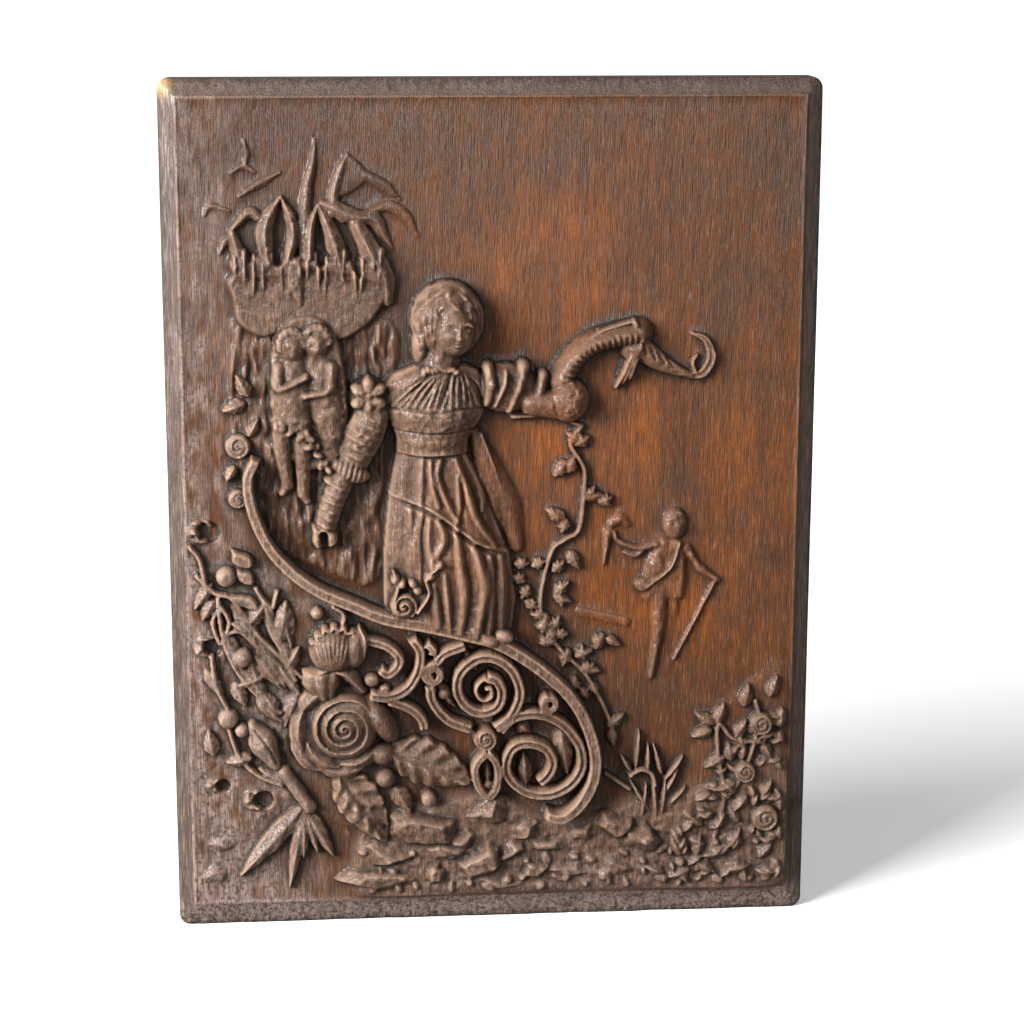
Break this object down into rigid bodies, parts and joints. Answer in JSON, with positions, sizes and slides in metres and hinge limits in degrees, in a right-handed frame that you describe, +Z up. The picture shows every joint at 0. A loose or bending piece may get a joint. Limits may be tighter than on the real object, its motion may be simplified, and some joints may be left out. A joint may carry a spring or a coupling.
{
  "type": "decorative wall panel",
  "caption": "Upright wooden board carved in relief with a lady on a scrolled balcony, small figures, a spiky plant, roses, rocks and vines, to hang on a wall.",
  "frame": {"origin": "centre of the flat back face that lies against the wall", "axes": "+Z up along the board's height, +X to the right as seen from the front, +Y out of the back into the wall; the carving faces -Y"},
  "size_m": [0.28, 0.036, 0.373],
  "materials": {
    "carved_wood": "satin"
  },
  "bodies": {
    "root": {"carved_panel": "carved_wood"}
  },
  "joints": []
}
